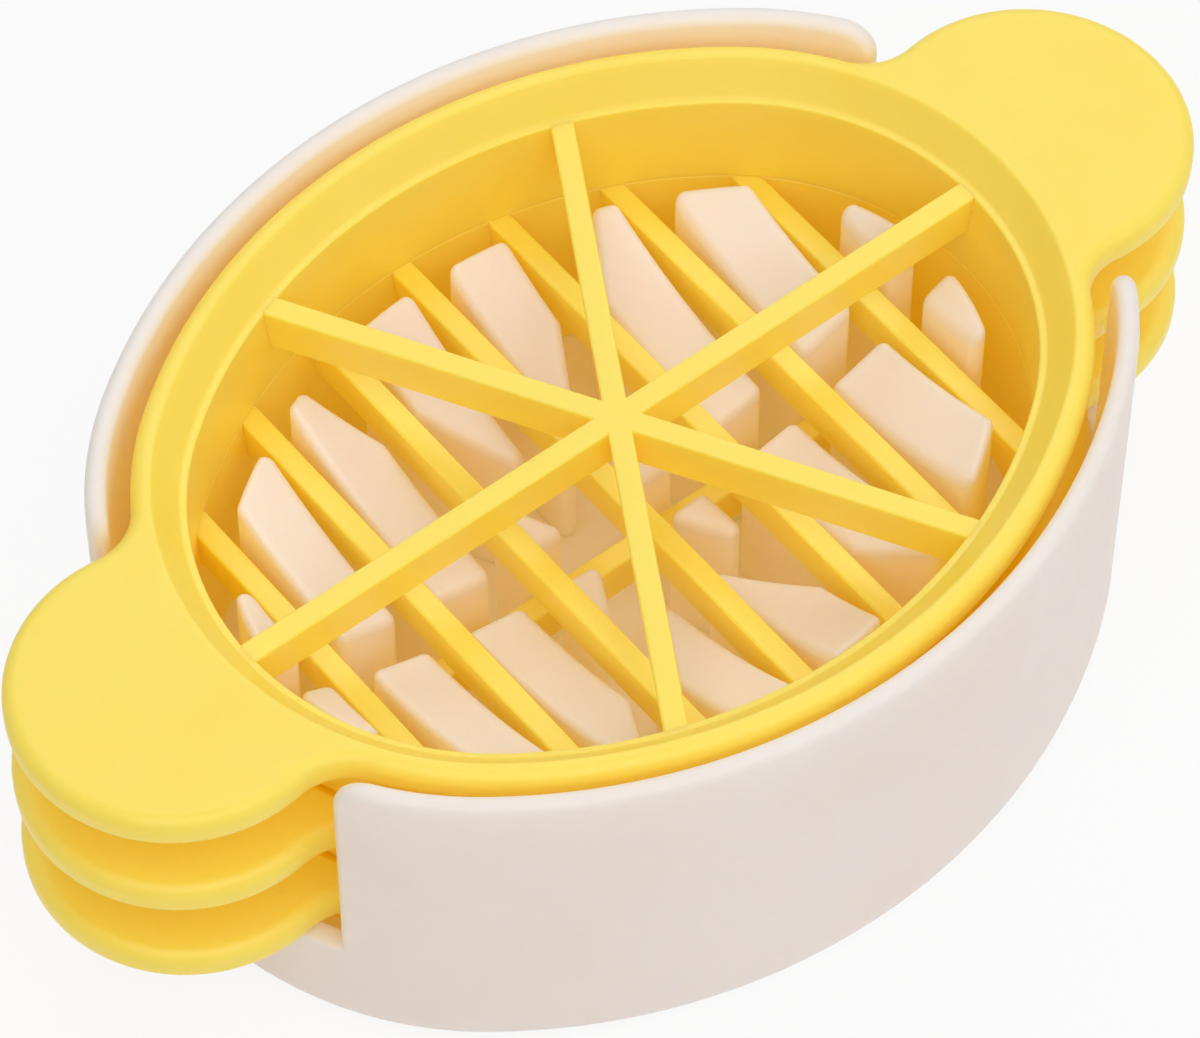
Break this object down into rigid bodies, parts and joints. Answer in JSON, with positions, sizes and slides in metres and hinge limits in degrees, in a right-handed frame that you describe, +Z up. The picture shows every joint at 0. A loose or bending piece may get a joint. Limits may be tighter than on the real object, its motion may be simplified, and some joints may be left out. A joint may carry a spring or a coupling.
{
  "type": "egg slicer",
  "caption": "Oval white bowl with an egg cradle of upright blocks and a stack of yellow cutting frames with lifting ears, for halving, slicing and wedging boiled eggs.",
  "frame": {"origin": "middle of the bowl's underside, on the table", "axes": "+X along the ears, +Y across the bowl, +Z up out of the bowl"},
  "size_m": [0.1118, 0.0708, 0.0347],
  "materials": {
    "white_plastic": "smooth moulded, soft gloss",
    "yellow_plastic": "smooth moulded, soft gloss, slightly translucent"
  },
  "bodies": {
    "base": {"base_bowl": "white_plastic", "cradle_block_01": "white_plastic", "cradle_block_02": "white_plastic", "cradle_block_03": "white_plastic", "cradle_block_04": "white_plastic", "cradle_block_05": "white_plastic", "cradle_block_06": "white_plastic", "cradle_block_07": "white_plastic", "cradle_block_08": "white_plastic", "cradle_block_09": "white_plastic", "cradle_block_10": "white_plastic", "cradle_block_11": "white_plastic", "cradle_block_12": "white_plastic", "cradle_block_13": "white_plastic", "cradle_block_14": "white_plastic", "cradle_block_15": "white_plastic", "cradle_block_16": "white_plastic", "cradle_block_17": "white_plastic", "cradle_block_18": "white_plastic", "cradle_block_19": "white_plastic", "cradle_block_20": "white_plastic"},
    "halving_frame": {"halving_rim": "yellow_plastic", "halving_blade": "yellow_plastic"},
    "slicing_frame": {"slicing_rim": "yellow_plastic", "slicing_blade_1": "yellow_plastic", "slicing_blade_2": "yellow_plastic", "slicing_blade_3": "yellow_plastic", "slicing_blade_4": "yellow_plastic", "slicing_blade_5": "yellow_plastic", "slicing_blade_6": "yellow_plastic", "slicing_blade_7": "yellow_plastic"},
    "wedge_frame": {"wedge_rim": "yellow_plastic", "wedge_blade_long": "yellow_plastic", "wedge_blade_far_right": "yellow_plastic", "wedge_blade_far_left": "yellow_plastic", "wedge_blade_near_left": "yellow_plastic", "wedge_blade_near_right": "yellow_plastic"}
  },
  "joints": [
    {"name": "halving_lift", "type": "slide", "parent": "base", "child": "halving_frame", "axis": [0, 0, 1], "range_m": [0, 0.045]},
    {"name": "slicing_lift", "type": "slide", "parent": "halving_frame", "child": "slicing_frame", "axis": [0, 0, 1], "range_m": [0, 0.045]},
    {"name": "wedge_lift", "type": "slide", "parent": "slicing_frame", "child": "wedge_frame", "axis": [0, 0, 1], "range_m": [0, 0.045]}
  ]
}
